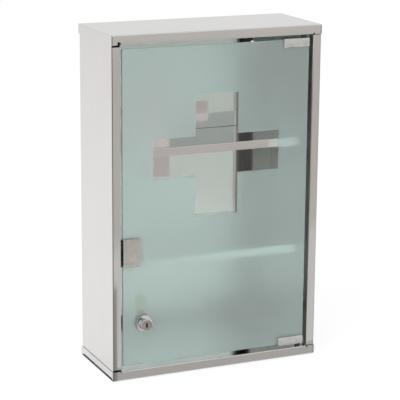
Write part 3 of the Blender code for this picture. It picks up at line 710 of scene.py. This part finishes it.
CATCH_PLASTIC = Moulded("catch_plastic", (0.80, 0.80, 0.78), (0.74, 0.74, 0.71), (0.38, 0.52))
BUSH_NYLON = Moulded("bush_nylon", (0.045, 0.045, 0.047), (0.032, 0.032, 0.034), (0.40, 0.55))
PAD_RUBBER = Moulded(
    "pad_rubber",
    (0.030, 0.030, 0.030),
    (0.042, 0.041, 0.040),
    (0.70, 0.88),
    texture_frequency=500.0,
)
MAGNET_FERRITE = Moulded(
    "sintered_ferrite",
    (0.085, 0.085, 0.092),
    (0.06, 0.06, 0.066),
    (0.45, 0.70),
    texture_frequency=1500.0,
)


@dataclass
class Case:
    """The folded case: two caps, two sides, the back, two shelves and the hinge bushes."""

    caps: tuple[str, ...] = ("top_cap", "bottom_cap")
    sides: tuple[str, ...] = ("left_side_panel", "right_side_panel")
    shelves: tuple[str, ...] = ("upper_shelf", "lower_shelf")
    bushes: tuple[str, ...] = ("top_hinge_bush", "bottom_hinge_bush")
    half_sheet: float = 0.0004  # a dark box's sides run in the middle of the sheet
    fold: float = 0.0010  # how far the painted shade along the fold at a side's front reaches
    return_depth: float = 0.0125
    gloss: tuple[float, float] = (0.07, 0.13)

    def folded(self, node: str, grain: Grain) -> SheetSteel:
        """Give a folded piece its finish, dark and matt in the channel behind its front, as mill finish
        and painted shade.

        A side is dark on its return beside the door too, so its box has no limit that way, and on
        the fold at its front; the dark return and fold are painted shade.

        Args:
            node: the piece.
            grain: the way that its polishing lines run.

        Returns:
            The finish.
        """
        low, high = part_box(node)
        inset = Vector((self.half_sheet,) * 3)
        start, end = low + inset, high - inset
        end.y = low.y + self.return_depth
        boxes: list[Box] = []
        # painted shade: a side darkens its return and the fold at its front corner
        if end.x < 0:
            end.x = FAR
            boxes.append(Box((-FAR, -FAR, -FAR), (low.x + self.fold, low.y + self.fold, FAR)))
        if start.x > 0:
            start.x = -FAR
            boxes.append(Box((high.x - self.fold, -FAR, -FAR), (FAR, low.y + self.fold, FAR)))
        boxes.append(Box(start[:], end[:]))
        return SheetSteel(f"polished_{node}", POLISHED, POLISHED_SHADE, self.gloss, grain, tuple(boxes))

    def dress(self, dresser: Dresser) -> None:
        """Finish the case's solids.

        Args:
            dresser: what puts the finishes on.
        """
        for node in self.caps:
            dresser.dress(node, self.folded(node, Grain.ACROSS))
        for node in self.sides:
            dresser.dress(node, self.folded(node, Grain.UP))
        dresser.dress("back_panel", BACK_STEEL)
        for node in self.shelves:
            dresser.dress(node, SHELF_STEEL)
        for node in self.bushes:
            dresser.dress(node, BUSH_NYLON)


@dataclass
class Catch:
    """The magnet catch behind the pull."""

    screws: tuple[str, ...] = ("catch_screw_front", "catch_screw_rear")

    def dress(self, dresser: Dresser) -> None:
        """Finish the catch's solids.

        Args:
            dresser: what puts the finishes on.
        """
        dresser.dress("catch_housing", CATCH_PLASTIC)
        dresser.dress("catch_magnet", MAGNET_FERRITE)
        for screw in self.screws:
            dresser.dress(screw, SCREW_CHROME)


@dataclass
class Door:
    """The glass with its hinges and its pull."""

    clear: Colour = (0.968, 0.95, 0.955)
    milk: Colour = (0.79, 0.92, 0.895)
    front_gloss: tuple[float, float] = (0.28, 0.33)
    back_gloss: tuple[float, float] = (0.38, 0.44)
    milk_share: float = 0.32
    edge_share: float = 0.75
    cross_width: float = 0.181
    cross_height: float = 0.1635
    cross_post: float = 0.061
    cross_bar: float = 0.053
    cross_drop: float = 0.146
    ends: tuple[str, ...] = ("top", "bottom")

    def glass(self) -> EtchedGlass:
        """Give the glass its finish, with the cross where the pane carries it.

        Returns:
            The finish.
        """
        low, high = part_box("door_glass")
        cross = Cross(
            x=(low.x + high.x) / 2,
            z=high.z - self.cross_drop,
            half_width=self.cross_width / 2,
            half_height=self.cross_height / 2,
            half_post=self.cross_post / 2,
            half_bar=self.cross_bar / 2,
        )
        return EtchedGlass(
            name="etched_glass",
            clear=self.clear,
            milk=self.milk,
            front_gloss=self.front_gloss,
            back_gloss=self.back_gloss,
            milk_share=self.milk_share,
            edge_share=self.edge_share,
            front_y=low.y,
            back_y=high.y,
            cross=cross,
        )

    def dress(self, dresser: Dresser) -> None:
        """Finish the door's solids.

        Args:
            dresser: what puts the finishes on.
        """
        dresser.dress("door_glass", self.glass())
        dresser.dress("door_pull", PULL_CHROME)
        dresser.dress("door_pull_grub", PLAIN_STEEL)
        for end in self.ends:
            dresser.dress(f"{end}_hinge_clamp", CLAMP_CHROME)
            dresser.dress(f"{end}_hinge_pad", PAD_RUBBER)
            dresser.dress(f"{end}_hinge_pin", PLAIN_STEEL)
            for side in ("left", "right"):
                dresser.dress(f"{end}_hinge_grub_{side}", PLAIN_STEEL)


@dataclass
class Lock:
    """The cam lock: its turned housing is built finer here, and the rest keeps its solids.

    The housing's radii and lengths are the solid's own, and its edges are rounded."""

    flange: float = 0.0022
    nose_length: float = 0.0085
    nose_radius: float = 0.0083
    barrel_radius: float = 0.0088
    head_bore: float = 0.0069
    plug_bore: float = 0.0061
    head_depth: float = 0.0018
    edge: float = 0.0009
    small_edge: float = 0.0002
    steps: int = 96
    curve_steps: int = 6
    wafers: int = 4

    def axis(self) -> Vector:
        """Give a point on the lock's axis."""
        low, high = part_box("lock_housing")
        return (low + high) / 2

    def build_housing(self, dresser: Dresser) -> bpy.types.Object:
        """Turn the nose, flange and barrel as one surface.

        Each row of the profile is a radius, a place along Y and the fillet of that corner.

        Args:
            dresser: where its finish comes from.

        Returns:
            The housing, which stands for its solid.
        """
        low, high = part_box("lock_housing")
        axis = self.axis()
        flange_radius = (high.x - low.x) / 2
        flange_front = low.y + self.nose_length
        flange_back = flange_front + self.flange
        seat = low.y + self.head_depth
        small = self.small_edge
        rows = [
            (self.head_bore, low.y, small),
            (self.head_bore, seat, small),
            (self.plug_bore, seat, small),
            (self.plug_bore, high.y, small),
            (self.barrel_radius, high.y, small),
            (self.barrel_radius, flange_back, small),
            (flange_radius, flange_back, small),
            (flange_radius, flange_front, self.edge),
            (self.nose_radius, flange_front, small),
            (self.nose_radius, low.y, self.edge),
        ]
        table = np.array(rows)
        profile = rounded_profile(table[:, :2], table[:, 2], self.curve_steps)
        piece = turned_surface("lock_housing_turned", profile, (axis.x, axis.z), self.steps)
        finish = replace(HOUSING_CHROME, turned_about=tuple(axis))
        piece.data.materials.append(dresser.material(finish))
        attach(piece, "door")
        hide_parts("lock_housing")
        LOG.info("built %s", piece.name)
        return piece

    def dress(self, dresser: Dresser) -> None:
        """Finish the lock's solids.

        Args:
            dresser: what puts the finishes on.
        """
        dresser.dress("lock_plug", replace(PLUG_STEEL, turned_about=tuple(self.axis())))
        dresser.dress("lock_gasket", PAD_RUBBER)
        dresser.dress("lock_washer", PLAIN_STEEL)
        dresser.dress("lock_nut", PLAIN_STEEL)
        dresser.dress("lock_cam", ZINC)
        dresser.dress("cam_screw", SCREW_CHROME)
        for number in range(1, self.wafers + 1):
            dresser.dress(f"lock_wafer_{number}", WAFER_BRASS)


@dataclass
class View:
    """The camera at the photograph's angle: degrees, metres, and millimetres of lens."""

    azimuth: float = -24.14
    elevation: float = 13.9
    roll: float = 0.45
    distance: float = 2.212
    lens: float = 146.72
    sensor: float = 36.0
    target: Triple = (0.001, 0.0, 0.220)

    def build(self) -> None:
        """Place the camera and make it the scene's own."""
        turn, rise, roll = (math.radians(a) for a in (self.azimuth, self.elevation, self.roll))
        out = math.cos(rise)
        back = Vector((math.sin(turn) * out, -math.cos(turn) * out, math.sin(rise)))
        right = Vector((math.cos(turn), math.sin(turn), 0.0))
        up = back.cross(right)
        rolled_right = math.cos(roll) * right + math.sin(roll) * up
        rolled_up = math.cos(roll) * up - math.sin(roll) * right
        data = bpy.data.cameras.new("view")
        data.lens = self.lens
        data.sensor_width = self.sensor
        camera = bpy.data.objects.new("view", data)
        turned = Matrix((rolled_right, rolled_up, back)).transposed().to_4x4()
        camera.matrix_world = Matrix.Translation(Vector(self.target) + back * self.distance) @ turned
        bpy.context.scene.collection.objects.link(camera)
        bpy.context.scene.camera = camera
        LOG.info("placed the camera")


@dataclass(frozen=True)
class Card:
    """A studio card that only mirrors and glass see, or only glass.

    Its corners are a middle plus or minus two half sides. Through the frost and through the clear
    cross it shows at its own strengths, and in a mirror it shows as its colour is written."""

    name: str
    middle: Triple
    half_wide: Triple
    half_high: Triple
    colour: Colour
    through_frost: float = 1.0
    through_clear: float = 1.0
    in_mirrors: bool = True


@dataclass(frozen=True)
class Lamp:
    """A soft square lamp, with its power in watts."""

    name: str
    place: Triple
    target: Triple
    side: float
    power: float


CARD_BLACK = (0.10, 0.098, 0.096)
PALE_LIFT = 0.0004  # cards lie on the floor in layers, each clear of the one below
SHADE_LIFT = 0.0005
DARK_LIFT = 0.0006
FLOOR_X = 0.7  # middle of the pale floor cards
FLOOR_REACH = (2.5, 0.0, 0.0)  # half of their width

# Strips of pale floor in front, which the front of the case mirrors; the darker first strip, by its
# foot, is a painted contact shadow
FLOOR_CARDS = (
    # painted shadow: a darker strip standing in for the case's contact shadow on the floor
    Card(
        "painted_front_shadow",
        middle=(FLOOR_X, -0.086, PALE_LIFT),
        half_wide=FLOOR_REACH,
        half_high=(0.0, 0.024, 0.0),
        colour=(0.46, 0.45, 0.44),
        through_frost=2.4,
    ),
    Card(
        "near_floor",
        middle=(FLOOR_X, -0.391, PALE_LIFT),
        half_wide=FLOOR_REACH,
        half_high=(0.0, 0.279, 0.0),
        colour=(0.64, 0.63, 0.615),
        through_frost=2.15,
    ),
    Card(
        "room",
        middle=(FLOOR_X, -1.76, PALE_LIFT),
        half_wide=FLOOR_REACH,
        half_high=(0.0, 1.09, 0.0),
        colour=(0.53, 0.51, 0.485),
        through_frost=2.3,
    ),
    Card(
        "far_room",
        middle=(FLOOR_X, -3.80, PALE_LIFT),
        half_wide=FLOOR_REACH,
        half_high=(0.0, 0.95, 0.0),
        colour=(0.61, 0.585, 0.565),
        through_frost=1.2,
    ),
)

# Dark cards on the camera's side, which darken parts of the steel
CAMERA_CARDS = (
    Card(
        "camera_side",
        middle=(-0.7, -3.17, 0.10),
        half_wide=(1.0, -0.45, 0.0),
        half_high=(0.0, 0.0, 0.80),
        colour=CARD_BLACK,
        through_frost=0.35,
        through_clear=0.35,
    ),
    Card(
        "camera_high",
        middle=(-0.7, -3.17, 2.0),
        half_wide=(1.0, -0.45, 0.0),
        half_high=(0.0, 0.0, 1.10),
        colour=CARD_BLACK,
        through_frost=7.0,
        through_clear=0.35,
    ),
    Card(
        "camera_floor",
        middle=(-0.188, -0.525, DARK_LIFT),
        half_wide=(0.08, 0.0, 0.0),
        half_high=(0.058, -0.175, 0.0),
        colour=CARD_BLACK,
        through_frost=10.0,
        through_clear=0.35,
    ),
    Card(
        "camera_mid",
        middle=(-0.263, -1.05, DARK_LIFT),
        half_wide=(0.33, 0.0, 0.0),
        half_high=(0.117, -0.35, 0.0),
        colour=CARD_BLACK,
        through_frost=1.5,
        through_clear=0.35,
    ),
    Card(
        "camera_far",
        middle=(-0.367, -2.0, DARK_LIFT),
        half_wide=(0.75, 0.0, 0.0),
        half_high=(0.20, -0.60, 0.0),
        colour=CARD_BLACK,
        through_frost=0.35,
        through_clear=0.35,
    ),
    Card(
        "camera_near",
        middle=(-0.116, -0.26, DARK_LIFT),
        half_wide=(0.05, 0.0, 0.0),
        half_high=(0.0775, -0.20, 0.0),
        colour=(0.28, 0.27, 0.26),
    ),
)

# Cards that only glass sees, which set the tone behind the frost
GLASS_CARDS = (
    Card(
        "left_shade",
        middle=(-2.3, -2.45, 0.10),
        half_wide=(0.6, -0.27, 0.0),
        half_high=(0.0, 0.0, 0.80),
        colour=CARD_BLACK,
        through_frost=0.35,
        through_clear=0.35,
        in_mirrors=False,
    ),
    Card(
        "left_floor",
        middle=(-1.9, -1.65, SHADE_LIFT),
        half_wide=(1.1, 0.0, 0.0),
        half_high=(0.25, -0.95, 0.0),
        colour=CARD_BLACK,
        through_frost=0.6,
        through_clear=0.35,
        in_mirrors=False,
    ),
    Card(
        "shelf_shade",
        middle=(0.24, -0.36, 0.45),
        half_wide=(0.18, 0.0, 0.0),
        half_high=(0.0, 0.0, 0.11),
        colour=(0.80, 0.785, 0.77),
        in_mirrors=False,
    ),
)

# Painted shadow: a dark line on the floor along the foot of the left side, which the skirt mirrors as
# its contact shadow
FOOT_SHADOW_CARD = Card(
    "painted_foot_shadow",
    middle=(-0.1521, 0.0, DARK_LIFT),
    half_wide=(0.0016, 0.0, 0.0),
    half_high=(0.0, 0.06, 0.0),
    colour=(0.07, 0.07, 0.07),
)


@dataclass
class Studio:
    """White floor and world, a soft lamp, and cards for the steel and the glass to show."""

    floor_half: float = 30.0
    floor_drop: float = 0.0005
    floor_seen: float = 1.05  # the bare floor to the eye, just over white
    floor_share: float = 0.35  # its colour to the eye, which takes the shadow
    floor_white: float = 0.88  # its colour to everything else
    floor_glow: float = 0.2  # what it adds in mirrors and through glass
    ambient: float = 0.85  # the world as light
    sky_through_frost: float = 1.68
    lamps: tuple[Lamp, ...] = (
        Lamp("key", place=(-2.2, -1.4, 2.2), target=(0.0, 0.0, 0.2), side=2.4, power=36.0),
    )
    cards: tuple[Card, ...] = (*FLOOR_CARDS, *CAMERA_CARDS, *GLASS_CARDS, FOOT_SHADOW_CARD)

    def sheet(self, name: str, middle: Triple, wide: Triple, high: Triple) -> bpy.types.Object:
        """Make one flat stage sheet.

        The point at (u, v), each -1 or 1, is middle + u wide + v high.

        Args:
            name: the sheet's name.
            middle: its middle.
            wide: half of one side.
            high: half of the other side.

        Returns:
            The sheet, marked as stage.
        """
        signs = np.array([(-1, -1), (1, -1), (1, 1), (-1, 1)], float)
        points = np.array(middle) + signs @ np.array([wide, high])
        mesh = bpy.data.meshes.new(name)
        mesh.from_pydata(points.tolist(), [], [(0, 1, 2, 3)])
        made = bpy.data.objects.new(name, mesh)
        bpy.context.scene.collection.objects.link(made)
        return made

    def build_floor(self) -> None:
        """Lay the floor: white to the eye with a share that takes the shadow, and plain white card
        to light, with a little glow of its own in mirrors and through glass."""
        half = self.floor_half
        floor = self.sheet("floor", (0.0, 0.0, -self.floor_drop), (half, 0.0, 0.0), (0.0, half, 0.0))
        made = Surface("floor_white", Roughness=1.0, Specular_IOR_Level=0.0)
        eye = made.seen_by(Shown(eye=1.0))
        made.drive("Base Color", made.blend(eye, (self.floor_white,) * 3, (self.floor_share,) * 3))
        glow = made.node("ShaderNodeEmission")
        rest = self.floor_seen - self.floor_share * self.ambient
        glow_share = self.floor_glow
        shown = Shown(eye=rest, mirror=glow_share, clear=glow_share, frosted=glow_share)
        made.join(made.seen_by(shown), glow.inputs["Strength"])
        both = made.node("ShaderNodeAddShader")
        made.join(made.shader.outputs["BSDF"], both.inputs[0])
        made.join(glow.outputs["Emission"], both.inputs[1])
        made.join(both.outputs["Shader"], made.output.inputs["Surface"])
        floor.data.materials.append(made.material)

    def build_cards(self) -> None:
        """Stand up the cards, which neither the camera nor any shadow sees."""
        for card in self.cards:
            sheet = self.sheet(card.name, card.middle, card.half_wide, card.half_high)
            sheet.visible_camera = False
            sheet.visible_diffuse = False
            sheet.visible_shadow = False
            sheet.visible_glossy = card.in_mirrors
            material = bpy.data.materials.new(card.name)
            material.use_nodes = True
            made = Graph(material.node_tree)
            glow = made.node("ShaderNodeEmission")
            glow.inputs["Color"].default_value = (*card.colour, 1.0)
            shown = Shown(mirror=1.0, clear=card.through_clear, frosted=card.through_frost)
            made.join(made.seen_by(shown), glow.inputs["Strength"])
            output = made.node("ShaderNodeOutputMaterial")
            made.join(glow.outputs["Emission"], output.inputs["Surface"])
            sheet.data.materials.append(material)

    def build_world(self) -> None:
        """Make the world white to the eye, in mirrors and through clear glass, brighter through the
        frost, and a softer light elsewhere."""
        world = bpy.data.worlds.new("studio")
        world.use_nodes = True
        made = Graph(world.node_tree)
        light = made.node("ShaderNodeBackground")
        output = made.node("ShaderNodeOutputWorld")
        frosted, light_level = self.sky_through_frost, self.ambient
        shown = Shown(eye=1.0, mirror=1.0, clear=1.0, frosted=frosted, light=light_level)
        made.join(made.seen_by(shown), light.inputs["Strength"])
        made.join(light.outputs["Background"], output.inputs["Surface"])
        bpy.context.scene.world = world

    def build_lamps(self) -> None:
        """Hang the lamps, each turned to its target and hidden from mirrors."""
        for lamp in self.lamps:
            data = bpy.data.lights.new(lamp.name, "AREA")
            data.shape = "SQUARE"
            data.size = lamp.side
            data.energy = lamp.power
            made = bpy.data.objects.new(lamp.name, data)
            made.location = lamp.place
            way = Vector(lamp.target) - Vector(lamp.place)
            made.rotation_euler = way.to_track_quat("-Z", "Y").to_euler()
            made.visible_glossy = False
            bpy.context.scene.collection.objects.link(made)

    def build(self) -> None:
        """Set up the whole studio."""
        bpy.context.scene.view_settings.view_transform = "Standard"
        self.build_floor()
        self.build_cards()
        self.build_world()
        self.build_lamps()
        LOG.info("set up the studio")


def main() -> None:
    """Dress the cabinet, build the lock's housing, and set up the studio and the camera."""
    logging.basicConfig(level=logging.INFO, format="%(name)s: %(message)s")
    dresser = Dresser()
    View().build()
    Case().dress(dresser)
    Catch().dress(dresser)
    Door().dress(dresser)
    lock = Lock()
    lock.build_housing(dresser)
    lock.dress(dresser)
    Studio().build()


if __name__ == "__main__":
    main()
